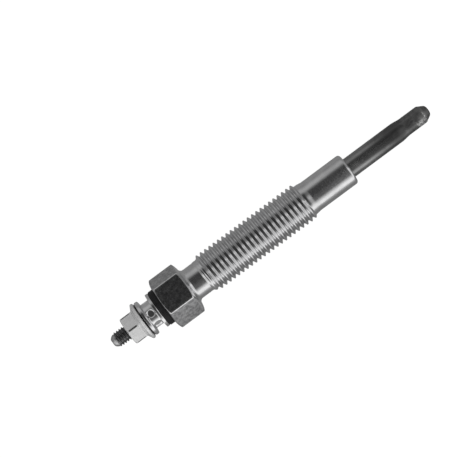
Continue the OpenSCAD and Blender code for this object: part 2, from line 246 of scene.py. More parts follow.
terminalRod = makeRod(rodShape)
studScrew = {
    "start": -14.0, "end": -9.9, "pitch": 0.7, "crestAt": -13.075, "crest": 1.92, "root": 1.6, "sunk": 0.1,
    "startRun": 0.6, "endRun": 0.3, "flank": 30.0, "crestRound": 0.06, "crestSteps": 5, "stepsPerTurn": 48,
    "sharp": 50.0,
}
studThread = screwRidge("studThread", studScrew)
print("terminal rod and its thread made")

# flange nut: hexagon with a turned chamfer behind, a sloping flange and a round rim; its rows run from the
# bore over the rear face, the chamfer's cone, the flats, the flange's cone and the rim's circle to the seat
nutShape = {
    "rear": -10.4, "front": -5.72, "flat": 3.45, "bend": 0.26, "corner": math.radians(9.4),
    "faceRadius": 3.25, "chamfer": math.radians(24), "chamferRows": (0.4, 0.75),
    "edge": 0.1, "edgeLeast": 0.02, "edgeRows": 5, "bore": 1.78, "boreMouth": 2.15, "mouthDeep": 0.2,
    "flangeRadius": 4.91, "flangeSlope": math.radians(28), "junction": 0.22, "junctionRows": 6,
    "rimRadius": 0.42, "rimAngles": (-60, 90), "rimRows": 11,
}


def makeNut(n):
    turn = n["corner"] + halfSector
    a = hexagonColumns(n["flat"], n["bend"], turn)
    side = hexagonRadius(a, n["flat"], n["bend"], turn)
    rimCentre = n["flangeRadius"] - n["rimRadius"]
    rimMiddle = n["front"] - n["rimRadius"]
    slopeR = rimCentre + n["rimRadius"] * math.sin(n["flangeSlope"])
    slopeS = rimMiddle - n["rimRadius"] * math.cos(n["flangeSlope"])

    def behind(r):  # rear face, and the chamfer outside faceRadius
        return n["rear"] + np.maximum(r - n["faceRadius"], 0.0) * math.tan(n["chamfer"])

    def flange(r):  # sloping face of the flange
        return slopeS - (slopeR - r) * math.tan(n["flangeSlope"])

    rows = [(n["rear"] + n["mouthDeep"], n["bore"]), (n["rear"], n["boreMouth"])]
    rows.append((n["rear"], n["faceRadius"]))
    inner = np.maximum(side - n["edge"], n["faceRadius"] + n["edgeLeast"])
    for share in n["chamferRows"]:
        r = n["faceRadius"] + (inner - n["faceRadius"]) * share
        rows.append((behind(r), r))
    edgeEnd = behind(side) + n["edge"]
    rows += softRows((behind(inner), inner), (behind(side), side), (edgeEnd, side), n["edgeRows"])
    foot = flange(side)
    rows.append((0.5 * (behind(side) + foot), side))
    outward = side + n["junction"] * math.cos(n["flangeSlope"])
    junctionEnd = (flange(outward), outward)
    rows += softRows((foot - n["junction"], side), (foot, side), junctionEnd, n["junctionRows"])
    middle = 0.5 * (outward + slopeR)
    rows.append((flange(middle), middle))
    for angle in np.radians(np.linspace(*n["rimAngles"], n["rimRows"])):  # from the slope to the seat
        rows.append((rimMiddle + n["rimRadius"] * math.sin(angle),
                     rimCentre + n["rimRadius"] * math.cos(angle)))
    rows += [(n["front"], n["boreMouth"]), (n["front"] - n["mouthDeep"], n["bore"])]
    return rowsPiece("flangeNut", rows, a)


flangeNut = makeNut(nutShape)
print("flange nut made")

# crimp collar: spool with rounded flanges and a step towards the nut; each punch mark is a round dent whose
# depth falls off with the eighth power of the distance from its middle, so that its floor is nearly flat,
# apart from the share markHollow that falls off with the square; markReach is the square of how many mark
# radii a dent reaches, and markClimb how far up the fillets
collarShape = {
    "rear": -5.55, "step": -5.34, "stepRadius": 4.4, "front": -1.35, "flangeRadius": 4.6, "flange": 1.05,
    "frontFlange": 0.8, "neckRadius": 3.31, "neckRows": 40, "bore": 1.755, "fillet": 0.3, "rearRound": 0.06,
    "frontRound": 0.34, "roundSteps": 7, "marks": 6, "markTurn": math.radians(4), "markAt": -3.33,
    "markRadius": 1.12, "markDepth": 0.36, "markHollow": 0.03, "markReach": 2.5, "markClimb": 0.2,
    "soft": 0.04, "columns": 300, "sharp": 40.0,
}


def makeCollar(c):
    firstEnd, secondStart = c["rear"] + c["flange"], c["front"] - c["frontFlange"]
    outline = softOutline([
        (c["rear"], c["bore"], 0.0), (c["rear"], c["stepRadius"], c["rearRound"]),
        (c["step"], c["stepRadius"], 0.0), (c["step"], c["flangeRadius"], c["rearRound"]),
        (firstEnd, c["flangeRadius"], c["frontRound"]), (firstEnd, c["neckRadius"], c["fillet"]),
        (secondStart, c["neckRadius"], c["fillet"]), (secondStart, c["flangeRadius"], c["rearRound"]),
        (c["front"], c["flangeRadius"], c["frontRound"]), (c["front"], c["bore"], 0.0),
    ], True, c["roundSteps"])
    # more rows over the neck, where the marks are
    onNeck = np.flatnonzero(np.isclose(outline[:, 1], c["neckRadius"]))
    first, last = onNeck[0], onNeck[-1]
    neckS = np.linspace(outline[first, 0], outline[last, 0], c["neckRows"])
    neck = np.stack([neckS, np.full_like(neckS, c["neckRadius"])], axis=1)
    outline = np.concatenate([outline[:first], neck, outline[last + 1:]])
    a = np.linspace(0.0, fullTurn, c["columns"], endpoint=False)[None, :]
    s, r = outline[:, :1], outline[:, 1:]
    span = fullTurn / c["marks"]
    offMark = np.mod(a - c["markTurn"] + span / 2, span) - span / 2
    offMiddle = ((c["neckRadius"] * np.sin(offMark)) ** 2 + (s - c["markAt"]) ** 2) / c["markRadius"] ** 2
    shallow = c["markHollow"] * offMiddle + (1 - c["markHollow"]) * offMiddle ** 4
    dent = (c["neckRadius"] - c["markDepth"] * (1 - shallow)) / np.cos(offMark)
    # smooth least of neck and dent, so that each mark has a rolled lip
    gap = np.clip(0.5 + 0.5 * (dent - r) / c["soft"], 0.0, 1.0)
    pressed = dent + (r - dent) * gap - c["soft"] * gap * (1 - gap)
    nearNeck = (s > firstEnd) & (s < secondStart) & (r < c["neckRadius"] + c["markClimb"])
    r = np.where(nearNeck & (offMiddle < c["markReach"]), np.minimum(pressed, r), r)
    return gridPiece("crimpCollar", onPlug(s, r, a), True, c["sharp"])


crimpCollar = makeCollar(collarShape)
print("crimp collar made")

# insulating bush: flange with a chamfer, and the spigot that goes into the housing
bushShape = {
    "rear": collarShape["front"], "flangeRadius": 4.7, "chamfer": 0.2, "rearSoft": 0.06, "edgeSoft": 0.08,
    "front": -0.005, "spigot": 2.44, "spigotRadius": 3.44, "bore": 1.8, "soft": 0.1, "columns": 120,
}


def makeBush(b):
    outline = softOutline([
        (b["rear"], b["bore"], 0.0),
        (b["rear"], b["flangeRadius"] - b["chamfer"], b["rearSoft"]),
        (b["rear"] + b["chamfer"], b["flangeRadius"], b["edgeSoft"]),
        (b["front"], b["flangeRadius"], b["soft"]),
        (b["front"], b["spigotRadius"], 0.0),
        (b["spigot"], b["spigotRadius"], b["soft"]),
        (b["spigot"], b["bore"], 0.0)], True)
    return turnedPiece("insulatingBush", outline, True, b["columns"])


insulatingBush = makeBush(bushShape)
print("insulating bush made")

# housing: crowned hexagon, neck, core of the long thread, nose and stepped bore, all in one skin; the crown
# falls away from the end face as a circle does, and fall holds (place, share of the way to the neck)
housingShape = {
    "flat": 5.99, "bend": 0.3, "length": 7.65, "faceRadius": 4.5, "crown": 5.0, "crownRows": (0.3, 0.6, 0.85),
    "edge": 0.16, "edgeRows": 6, "fillet": 0.95, "filletRows": 10, "neck": 4.05,
    "riseStart": 11.65, "riseEnd": 12.4, "riseRows": 9, "core": 4.235, "support": 0.15,
    "fall": [(41.9, 0.0), (42.25, 0.38), (42.7, 0.6), (43.05, 1.0)],
    "nose": 54.2, "noseRound": 0.7, "noseRows": 9, "noseMouth": 0.14, "grip": 2.533, "gripStart": 36.2,
    "bore": 2.7, "boreEnd": 35.7, "sealBore": 3.5, "sealDepth": 4.2, "sealMouth": 0.12,
}


def makeHousing(h):
    a = hexagonColumns(h["flat"], h["bend"], 0.0)
    side = hexagonRadius(a, h["flat"], h["bend"], 0.0)
    inner = side - h["edge"]
    front = h["length"]
    filletTop = h["neck"] + h["fillet"]

    def inset(r):  # how far the crowned end lies behind the end face at the radius r
        return h["crown"] - np.sqrt(h["crown"] ** 2 - np.maximum(r - h["faceRadius"], 0.0) ** 2)

    rows = [(0.0, h["sealBore"] + h["sealMouth"]), (0.0, h["faceRadius"])]
    for share in h["crownRows"]:
        r = h["faceRadius"] + (inner - h["faceRadius"]) * share
        rows.append((inset(r), r))
    edgeEnd = inset(side) + h["edge"]
    edge = softRows((inset(inner), inner), (inset(side), side), (edgeEnd, side), h["edgeRows"])
    rows += edge + [(0.5 * front, side)] + [(front - s, r) for s, r in reversed(edge)]
    for share in reversed(h["crownRows"]):
        r = filletTop + (inner - filletTop) * share
        rows.append((front - inset(r), r))
    for angle in np.radians(np.linspace(0, 90, h["filletRows"])):  # fillet down to the neck
        rows.append((front + h["fillet"] * (1 - math.cos(angle)), filletTop - h["fillet"] * math.sin(angle)))
    for share in np.linspace(0.0, 1.0, h["riseRows"]):  # the core swells out of the neck
        rows.append((h["riseStart"] + (h["riseEnd"] - h["riseStart"]) * share,
                     h["neck"] + (h["core"] - h["neck"]) * share ** 2))
    # support rows beside the slopes keep the shading between them straight
    rows += [(h["riseEnd"] + h["support"], h["core"]), (h["fall"][0][0] - h["support"], h["core"])]
    for place, drop in h["fall"]:  # run-out of the thread, in three slopes
        rows.append((place, h["core"] + (h["neck"] - h["core"]) * drop))
    rows.append((h["fall"][-1][0] + h["support"], h["neck"]))
    for angle in np.radians(np.linspace(0, 90, h["noseRows"])):  # rounded front edge of the nose
        rows.append((h["nose"] - h["noseRound"] * (1 - math.sin(angle)),
                     h["neck"] - h["noseRound"] * (1 - math.cos(angle))))
    rows += [
        (h["nose"], h["grip"] + h["noseMouth"]), (h["nose"] - h["noseMouth"], h["grip"]),
        (h["gripStart"], h["grip"]), (h["boreEnd"], h["bore"]), (h["sealDepth"], h["bore"]),
        (h["sealDepth"], h["sealBore"]), (h["sealMouth"], h["sealBore"])]
    return rowsPiece("housingBody", rows, a)


housingBody = makeHousing(housingShape)
longScrew = {
    "start": 11.6, "end": 42.15, "pitch": 1.25, "crestAt": 27.12, "crest": 4.97, "root": housingShape["core"],
    "sunk": 0.12, "startRun": 1.7, "endRun": 1.3, "flank": 30.0, "crestRound": 0.2, "crestSteps": 9,
    "stepsPerTurn": 72, "sharp": 50.0,
}
housingThread = screwRidge("housingThread", longScrew)
print("housing and its thread made")

# heater sheath: tube, swaged front, tapered and rounded tip with the weld's ring, and its inside; the swage
# is an eased step between two radii, the taper a cone that sets in softly, the tip a circle that touches it,
# and the ring a bell curve
sheathShape = {
    "open": 39.2, "radius": 2.53, "wall": 0.6, "mouth": 0.1, "swage": 68.1, "swageRows": 15,
    "front": 70.75, "frontRadius": 2.28, "taper": 75.42, "taperSlope": math.radians(28.8), "taperLead": 0.5,
    "taperSoft": 0.35, "taperStart": 0.35, "taperRows": 34, "tip": 77.39, "tipRound": 1.05, "tipRows": 12,
    "weld": 76.1, "weldRadius": 1.2, "ringAt": 75.72, "ringHigh": 0.03, "ringWide": 0.12, "columns": 120,
}


def makeSheath(h):
    swage = np.linspace(0.0, 1.0, h["swageRows"])
    swageS = h["swage"] + (h["front"] - h["swage"]) * swage
    swageR = h["radius"] + (h["frontRadius"] - h["radius"]) * eased(swage)
    slope = math.tan(h["taperSlope"])
    bow = np.linspace(h["taperSlope"], math.pi / 2, h["tipRows"])  # direction the rounded tip faces
    endS = h["tip"] - h["tipRound"] * (1 - np.sin(bow))
    taperEnd = h["frontRadius"] - (endS[0] - h["taper"]) * slope
    endR = taperEnd - h["tipRound"] * math.cos(h["taperSlope"]) + h["tipRound"] * np.cos(bow)
    taperS = np.linspace(h["taper"] - h["taperLead"], endS[0], h["taperRows"])[:-1]
    past = np.maximum(taperS - h["taper"], 0.0)
    taperR = h["frontRadius"] - slope * past * eased(past / h["taperSoft"] + h["taperStart"])
    outerS = np.concatenate([[h["open"], h["open"] + h["mouth"]], swageS, taperS, endS])
    outerR = np.concatenate([[h["radius"] - h["mouth"], h["radius"]], swageR, taperR, endR])
    outerR = outerR + h["ringHigh"] * np.exp(-((outerS - h["ringAt"]) / h["ringWide"]) ** 2)
    frontInside, inside = h["frontRadius"] - h["wall"], h["radius"] - h["wall"]
    wallS = [h["weld"], h["weld"], h["taper"], h["front"], h["swage"], h["open"]]
    wallR = [0.0, h["weldRadius"], frontInside, frontInside, inside, inside]
    outline = np.stack([np.concatenate([wallS, outerS, [h["tip"]]]),
                        np.concatenate([wallR, outerR, [0.0]])], axis=1)
    return turnedPiece("heaterSheath", outline, False, h["columns"])


heaterSheath = makeSheath(sheathShape)
print("heater sheath made")


# materials: every pattern reads the plug's own place, x along the axis from the hexagon's rear face
def newMaterial(name):
    material = bpy.data.materials.new(name)
    material.use_nodes = True
    return material, material.node_tree, material.node_tree.nodes["Principled BSDF"]


# new node; an input that is given a socket is linked to it, and any other is set
def addNode(tree, kind, inputs=None, **settings):
    made = tree.nodes.new(kind)
    for key, value in settings.items():
        setattr(made, key, value)
    for key, value in (inputs or {}).items():
        if isinstance(value, bpy.types.NodeSocket):
            tree.links.new(value, made.inputs[key])
        else:
            made.inputs[key].default_value = value
    return made


# place on the plug in metres, turned so that its axis runs along x
def plugCoordinates(tree):
    shift = -(Matrix.Rotation(-dip, 3, "Y") @ Vector(zeroPoint))
    place = addNode(tree, "ShaderNodeTexCoord").outputs["Object"]
    return addNode(tree, "ShaderNodeMapping", {
        "Vector": place, "Rotation": (0.0, -dip, 0.0), "Location": tuple(shift)}).outputs["Vector"]


def parted(tree, vector):
    return addNode(tree, "ShaderNodeSeparateXYZ", {"Vector": vector}).outputs


def stretched(tree, vector, scale):
    return addNode(tree, "ShaderNodeVectorMath", {0: vector, 1: scale}, operation="MULTIPLY").outputs[0]


def noise(tree, vector, scale, detail, roughness, distortion=0.0):
    return addNode(tree, "ShaderNodeTexNoise", {
        "Vector": vector, "Scale": scale, "Detail": detail, "Roughness": roughness,
        "Distortion": distortion}).outputs["Fac"]


def maths(tree, operation, first, second=0.0):
    return addNode(tree, "ShaderNodeMath", {0: first, 1: second}, operation=operation).outputs[0]


# value from low to high as a straight share from 0 to 1
def shareOf(tree, value, low, high):
    return addNode(tree, "ShaderNodeMapRange", {
        "Value": value, "From Min": low, "From Max": high}).outputs["Result"]


# eased step from toLow to toHigh while the value goes from low to high
def spread(tree, value, low, high, toLow, toHigh):
    return addNode(tree, "ShaderNodeMapRange", {
        "Value": value, "From Min": low, "From Max": high, "To Min": toLow, "To Max": toHigh},
        interpolation_type="SMOOTHSTEP").outputs["Result"]


# number between two ends by a noise, which does most of its changing over the span
def graded(tree, value, toLow, toHigh, span=(0.3, 0.7)):
    return spread(tree, value, *span, toLow, toHigh)


# colour by a value, through stops of (share, colour)
def ramped(tree, value, stops):
    ramp = addNode(tree, "ShaderNodeValToRGB", {"Fac": value})
    elements = ramp.color_ramp.elements
    for number, (position, colour) in enumerate((stops[0], stops[-1])):
        elements[number].position = position
        elements[number].color = (*colour, 1)
    for position, colour in stops[1:-1]:
        elements.new(position).color = (*colour, 1)
    return ramp.outputs["Color"]


# colour between dark and light by a noise, as graded does for numbers
def toned(tree, value, dark, light, span=(0.3, 0.7)):
    return ramped(tree, value, [(span[0], dark), (span[1], light)])


# stops of (place, grey) between low and high as stops for ramped
def greyStops(stops, low, high):
    return [((place - low) / (high - low), (grey, grey, grey)) for place, grey in stops]


def darker(colour, share):
    return tuple(share * part for part in colour)


# mix of two sockets by a share: kind is RGBA for colours and FLOAT for numbers
def mixed(tree, share, first, second, kind="RGBA", blend="MIX"):
    return addNode(tree, "ShaderNodeMix", {"Factor": share, "A": first, "B": second},
                   data_type=kind, blend_type=blend).outputs["Result"]


def bumped(tree, shader, height, strength, distance):
    bump = addNode(tree, "ShaderNodeBump", {"Height": height, "Strength": strength, "Distance": distance})
    tree.links.new(bump.outputs["Normal"], shader.inputs["Normal"])


# angle round the x axis, from straight up towards the lit side
def leanOf(tree, vector):
    parts = parted(tree, vector)
    return maths(tree, "ARCTAN2", maths(tree, "MULTIPLY", parts["Y"], -1.0), parts["Z"])


# 1 on the six corners of a hexagon, 0 on its flats: cosine of six times the angle from a corner, eased
# between the angles near and far
def atCorners(tree, vector, corner, near, far):
    fromCorner = maths(tree, "SUBTRACT", leanOf(tree, vector), corner)
    wave = maths(tree, "COSINE", maths(tree, "MULTIPLY", fromCorner, 6.0))
    return spread(tree, wave, math.cos(6 * far), math.cos(6 * near), 0.0, 1.0)


# 1 between two places along the plug in mm, with soft ends
def between(tree, s, start, end, soft):
    into = spread(tree, s, mm * (start - soft), mm * (start + soft), 0.0, 1.0)
    return maths(tree, "MULTIPLY", into, spread(tree, s, mm * (end - soft), mm * (end + soft), 1.0, 0.0))


# finishes: a noise is (scale, detail, roughness) and may have a distortion, a bump is (strength, distance in
# metres), a span is the stretch of a noise between its two ends, and places on the plug are in mm

# bright turned and plated steel: fine rings on the round parts, a mirror on the rolled thread, a cloudier
# and pitted skin on the hexagon's flats, and rubbed, paler corners
steelFinish = {
    "cloud": (420.0, 4.0, 0.6), "pits": (1250.0, 4.0, 0.6), "speck": (2600.0, 3.0, 0.6),
    "rings": (7000.0, 2.0, 0.5), "ringStretch": (1.0, 0.02, 0.02),
    "dark": (0.60, 0.60, 0.605), "light": (0.72, 0.72, 0.725), "cloudSpan": (0.32, 0.66),
    "smooth": 0.12, "rough": 0.24, "speckSpan": (0.25, 0.75),
    "thread": (12.1, 42.3), "threadSoft": 0.15, "threadSmooth": 0.02, "threadRough": 0.06,
    "hexDark": (0.28, 0.28, 0.285), "hexLight": (0.52, 0.52, 0.525), "pitSpan": (0.38, 0.62),
    "hexFull": 7.05, "hexEnd": 7.45, "hexSmooth": 0.15, "hexRough": 0.24, "hexBump": 3.0,
    "rubbedAndPaintedReflection": (0.86, 0.86, 0.865), "rubbedAndPaintedReflectionShade": 0.9, "rubbedSpan": (0.2, 0.6),
    "rubbedAndPaintedReflectionNear": math.radians(1.3), "rubbedAndPaintedReflectionFar": math.radians(2.7), "rubbedLeast": 0.55,
    "rubbedPits": (0.25, 0.5), "bump": (0.12, 0.00002),
}


def platedSteel(f):
    material, tree, shader = newMaterial("platedSteel")
    place = plugCoordinates(tree)
    s = parted(tree, place)["X"]
    onHex = spread(tree, s, mm * f["hexFull"], mm * f["hexEnd"], 1.0, 0.0)
    onThread = between(tree, s, *f["thread"], f["threadSoft"])
    cloud, pits, speck = (noise(tree, place, *f[kind]) for kind in ("cloud", "pits", "speck"))
    rings = noise(tree, stretched(tree, place, f["ringStretch"]), *f["rings"])
    corners = atCorners(tree, place, halfSector, f["rubbedAndPaintedReflectionNear"], f["rubbedAndPaintedReflectionFar"])
    rubbedAndPaintedReflection = maths(tree, "MULTIPLY", corners, graded(tree, pits, f["rubbedLeast"], 1.0, f["rubbedPits"]))
    turned = toned(tree, cloud, f["dark"], f["light"], f["cloudSpan"])
    flats = toned(tree, pits, f["hexDark"], f["hexLight"], f["pitSpan"])
    bareAndPaintedReflection = toned(tree, speck, darker(f["rubbedAndPaintedReflection"], f["rubbedAndPaintedReflectionShade"]), f["rubbedAndPaintedReflection"], f["rubbedSpan"])
    colour = mixed(tree, onHex, turned, mixed(tree, rubbedAndPaintedReflection, flats, bareAndPaintedReflection))
    tree.links.new(colour, shader.inputs["Base Color"])
    turnedRough = graded(tree, speck, f["smooth"], f["rough"], f["speckSpan"])
    threadRough = graded(tree, speck, f["threadSmooth"], f["threadRough"], f["speckSpan"])
    hexRough = graded(tree, speck, f["hexSmooth"], f["hexRough"])
    roundRough = mixed(tree, onThread, turnedRough, threadRough, "FLOAT")
    tree.links.new(mixed(tree, onHex, roundRough, hexRough, "FLOAT"), shader.inputs["Roughness"])
    shader.inputs["Metallic"].default_value = 1.0
    pitted = maths(tree, "MULTIPLY", pits, maths(tree, "MULTIPLY", onHex, f["hexBump"]))
    bumped(tree, shader, maths(tree, "ADD", pitted, rings), *f["bump"])
    return material


# satin zinc plate of the nut: even, slightly grainy, with faint darker clouds, and a painted dark reflection
# along its six corners, coloured dark steel and fully metallic there
zincFinish = {
    "cloud": (700.0, 4.0, 0.6), "grain": (6000.0, 2.0, 0.5), "dark": (0.59, 0.59, 0.59),
    "light": (0.67, 0.67, 0.67), "metal": 0.48, "smooth": 0.3, "rough": 0.42, "bump": (0.08, 0.00002),
    "rubbedAndPaintedReflection": (0.2, 0.2, 0.2), "rubbedAndPaintedReflectionShade": 0.8, "rubbedAndPaintedReflectionNear": math.radians(1.5),
    "rubbedAndPaintedReflectionFar": math.radians(4.5), "paintedReflectionAt": (-9.9, -7.55), "rubbedAndPaintedReflectionSoft": 0.25,
}


def satinZinc(f, corner):
    material, tree, shader = newMaterial("satinZinc")
    place = plugCoordinates(tree)
    s = parted(tree, place)["X"]
    cloud, grain = (noise(tree, place, *f[kind]) for kind in ("cloud", "grain"))
    plate = toned(tree, cloud, f["dark"], f["light"])
    bareAndPaintedReflection = toned(tree, grain, darker(f["rubbedAndPaintedReflection"], f["rubbedAndPaintedReflectionShade"]), f["rubbedAndPaintedReflection"])
    # painted dark reflection: a dark line along the six corners, over the hexagon's length
    wornAndPaintedReflection = maths(tree, "MULTIPLY", atCorners(tree, place, corner, f["rubbedAndPaintedReflectionNear"], f["rubbedAndPaintedReflectionFar"]),
                 between(tree, s, *f["paintedReflectionAt"], f["rubbedAndPaintedReflectionSoft"]))
    tree.links.new(mixed(tree, wornAndPaintedReflection, plate, bareAndPaintedReflection), shader.inputs["Base Color"])
    tree.links.new(spread(tree, wornAndPaintedReflection, 0.0, 1.0, f["metal"], 1.0), shader.inputs["Metallic"])
    tree.links.new(graded(tree, grain, f["smooth"], f["rough"]), shader.inputs["Roughness"])
    bumped(tree, shader, grain, *f["bump"])
    return material


# bright zinc plate of the collar: smoother, with fine rings from turning, and painted shade, near black, from
# behind its rear face up to its step, for the shadowed gap to the nut
collarFinish = {
    "cloud": (900.0, 3.0, 0.6), "rings": (9000.0, 2.0, 0.5), "ringStretch": (1.0, 0.03, 0.03),
    "dark": (0.66, 0.66, 0.665), "light": (0.80, 0.80, 0.805), "smooth": 0.04, "rough": 0.09,
    "paintedGapShade": (0.02, 0.02, 0.02), "paintedGapShadeLight": (0.06, 0.06, 0.058), "paintedGapShadeBehind": 1.0, "paintedGapShadeSoft": 0.02,
    "bump": (0.08, 0.00002),
}


def brightZinc(f, rear, step):
    material, tree, shader = newMaterial("brightZinc")
    place = plugCoordinates(tree)
    s = parted(tree, place)["X"]
    cloud = noise(tree, place, *f["cloud"])
    rings = noise(tree, stretched(tree, place, f["ringStretch"]), *f["rings"])
    plated = toned(tree, cloud, f["dark"], f["light"])
    # painted shade of the gap between nut and collar: near black up to the step
    gapShaded = toned(tree, cloud, f["paintedGapShade"], f["paintedGapShadeLight"])
    inPaintedGapShade = between(tree, s, rear - f["paintedGapShadeBehind"], step, f["paintedGapShadeSoft"])
    tree.links.new(mixed(tree, inPaintedGapShade, plated, gapShaded), shader.inputs["Base Color"])
    tree.links.new(graded(tree, cloud, f["smooth"], f["rough"]), shader.inputs["Roughness"])
    shader.inputs["Metallic"].default_value = 1.0
    bumped(tree, shader, rings, *f["bump"])
    return material


# dark rolled steel of the stud, bare and paler on the tip's cone
studFinish = {
    "grain": (2500.0, 4.0, 0.6), "dark": (0.13, 0.13, 0.132), "wornAndPaintedReflection": (0.26, 0.26, 0.262),
    "wornSpan": (0.35, 0.7), "bareAndPaintedReflection": (0.58, 0.58, 0.585), "bareShade": 0.75, "bareSpan": (0.2, 0.7),
    "bareFull": -13.8, "bareEnd": -13.35, "smooth": 0.26, "rough": 0.42, "bump": (0.1, 0.00002),
}


def rolledSteel(f):
    material, tree, shader = newMaterial("rolledSteel")
    place = plugCoordinates(tree)
    grain = noise(tree, place, *f["grain"])
    wornAndPaintedReflection = toned(tree, grain, f["dark"], f["wornAndPaintedReflection"], f["wornSpan"])
    bareAndPaintedReflection = toned(tree, grain, darker(f["bareAndPaintedReflection"], f["bareShade"]), f["bareAndPaintedReflection"], f["bareSpan"])
    tip = spread(tree, parted(tree, place)["X"], mm * f["bareFull"], mm * f["bareEnd"], 1.0, 0.0)
    tree.links.new(mixed(tree, tip, wornAndPaintedReflection, bareAndPaintedReflection), shader.inputs["Base Color"])
    tree.links.new(graded(tree, grain, f["smooth"], f["rough"]), shader.inputs["Roughness"])
    shader.inputs["Metallic"].default_value = 1.0
    bumped(tree, shader, grain, *f["bump"])
    return material


# matt black moulded plastic of the bush
bushFinish = {
    "grain": (5000.0, 3.0, 0.6), "cloud": (800.0, 3.0, 0.6), "dark": (0.006, 0.006, 0.0065),
    "light": (0.013, 0.013, 0.014), "smooth": 0.42, "rough": 0.58, "gloss": 0.25, "bump": (0.12, 0.00002),
}


def mouldedBlack(f):
    material, tree, shader = newMaterial("mouldedBlack")
    place = plugCoordinates(tree)
    grain, cloud = (noise(tree, place, *f[kind]) for kind in ("grain", "cloud"))
    tree.links.new(toned(tree, cloud, f["dark"], f["light"]), shader.inputs["Base Color"])
    tree.links.new(graded(tree, cloud, f["smooth"], f["rough"]), shader.inputs["Roughness"])
    shader.inputs["Specular IOR Level"].default_value = f["gloss"]
    bumped(tree, shader, grain, *f["bump"])
    return material


# dark oxidised alloy of the sheath: drawn streaks along it, darker in the middle, dull and blotched at the
# tip, with painted highlights on the lit side: pale spots, and a pale ring at the weld in front of them; the
# side places of the spots and of the ring are across the plug, between which they fade, and zoneDrift, in
# metres, is how far blotches move the zones' ends
sheathFinish = {
    "streak": (2600.0, 3.0, 0.55), "streakStretch": (0.06, 1.0, 1.0), "blotch": (520.0, 4.0, 0.6, 0.6),
    "near": (0.33, 0.33, 0.33), "middle": (0.13, 0.13, 0.13), "front": (0.25, 0.25, 0.248),
    "zones": [(0.05, "near"), (0.42, "middle"), (0.62, "middle"), (0.85, "front")],
    "zoneStart": 58.0, "zoneEnd": 77.4, "zoneDrift": 0.012,
    "cap": (0.17, 0.17, 0.169), "capShade": 0.8, "capFrom": 75.85, "capTo": 76.25,
    "pale": (0.74, 0.74, 0.735), "paleShade": 0.8, "spots": (1700.0, 2.0, 0.5), "spotSpan": (0.42, 0.56),
    "rubbedAndPaintedReflection": (73.2, 75.5), "rubbedAndPaintedReflectionSoft": 0.4, "paintedHighlightSide": (-1.9, -0.7),
    "paintedSeamHighlight": (75.5, 75.75), "paintedSeamHighlightSoft": 0.05, "paintedSeamHighlightSide": (-0.4, 0.4),
    "shade": (0.62, 0.62, 0.62), "shadeSpan": (0.32, 0.66), "smooth": 0.18, "rough": 0.28,
    "dullFrom": 60.0, "dullTo": 71.0, "dull": 0.2, "metal": 0.93, "bump": (0.12, 0.00003),
}


def oxidisedAlloy(f):
    material, tree, shader = newMaterial("oxidisedAlloy")
    place = plugCoordinates(tree)
    parts = parted(tree, place)
    s, y = parts["X"], parts["Y"]
    streak = noise(tree, stretched(tree, place, f["streakStretch"]), *f["streak"])
    blotch = noise(tree, place, *f["blotch"])
    drift = maths(tree, "MULTIPLY", maths(tree, "SUBTRACT", blotch, 0.5), f["zoneDrift"])
    share = shareOf(tree, maths(tree, "ADD", s, drift), mm * f["zoneStart"], mm * f["zoneEnd"])
    zone = ramped(tree, share, [(stop, f[kind]) for stop, kind in f["zones"]])
    atCap = spread(tree, s, mm * f["capFrom"], mm * f["capTo"], 0.0, 1.0)
    zone = mixed(tree, atCap, zone, toned(tree, blotch, darker(f["cap"], f["capShade"]), f["cap"]))

    def litSide(start, end):
        return spread(tree, y, mm * start, mm * end, 1.0, 0.0)

    # painted highlights: pale spots and a pale ring, on the lit side only
    spots = graded(tree, noise(tree, place, *f["spots"]), 0.0, 1.0, f["spotSpan"])
    paintedHighlightBand = between(tree, s, *f["rubbedAndPaintedReflection"], f["rubbedAndPaintedReflectionSoft"])
    paintedSeamHighlightBand = between(tree, s, *f["paintedSeamHighlight"], f["paintedSeamHighlightSoft"])
    rubbedAndPaintedReflection = maths(tree, "MULTIPLY", paintedHighlightBand, litSide(*f["paintedHighlightSide"]))
    paintedSeamHighlight = maths(tree, "MULTIPLY", paintedSeamHighlightBand, litSide(*f["paintedSeamHighlightSide"]))
    bareAndPaintedReflection = maths(tree, "MULTIPLY", maths(tree, "MAXIMUM", rubbedAndPaintedReflection, paintedSeamHighlight), spots)
    zone = mixed(tree, bareAndPaintedReflection, zone, toned(tree, blotch, darker(f["pale"], f["paleShade"]), f["pale"]))
    halves = (maths(tree, "MULTIPLY", pattern, 0.5) for pattern in (streak, blotch))
    shade = toned(tree, maths(tree, "ADD", *halves), f["shade"], (1.0, 1.0, 1.0), f["shadeSpan"])
    tree.links.new(mixed(tree, 1.0, zone, shade, blend="MULTIPLY"), shader.inputs["Base Color"])
    dull = spread(tree, s, mm * f["dullFrom"], mm * f["dullTo"], 0.0, f["dull"])
    rough = maths(tree, "ADD", graded(tree, blotch, f["smooth"], f["rough"]), dull)
    tree.links.new(rough, shader.inputs["Roughness"])
    shader.inputs["Metallic"].default_value = f["metal"]
    bumped(tree, shader, maths(tree, "ADD", streak, blotch), *f["bump"])
    return material


# hidden pieces: black rubber, packed white powder and drawn wire, each with its own grain
rubberFinish = {
    "name": "sealRubber", "grain": (3000.0, 4.0, 0.6), "dark": (0.012, 0.011, 0.010),
    "light": (0.035, 0.033, 0.030), "smooth": 0.55, "rough": 0.75, "metal": 0.0, "bump": (0.15, 0.00003),
}
powderFinish = {
    "name": "packedMagnesia", "grain": (4000.0, 4.0, 0.6), "dark": (0.74, 0.72, 0.66),
    "light": (0.86, 0.84, 0.79), "smooth": 0.8, "rough": 0.95, "metal": 0.0, "bump": (0.15, 0.00003),
}
wireFinish = {
    "name": "resistanceWire", "grain": (6000.0, 4.0, 0.6), "dark": (0.30, 0.29, 0.275),
    "light": (0.46, 0.45, 0.43), "smooth": 0.28, "rough": 0.42, "metal": 1.0, "bump": (0.15, 0.00003),
}


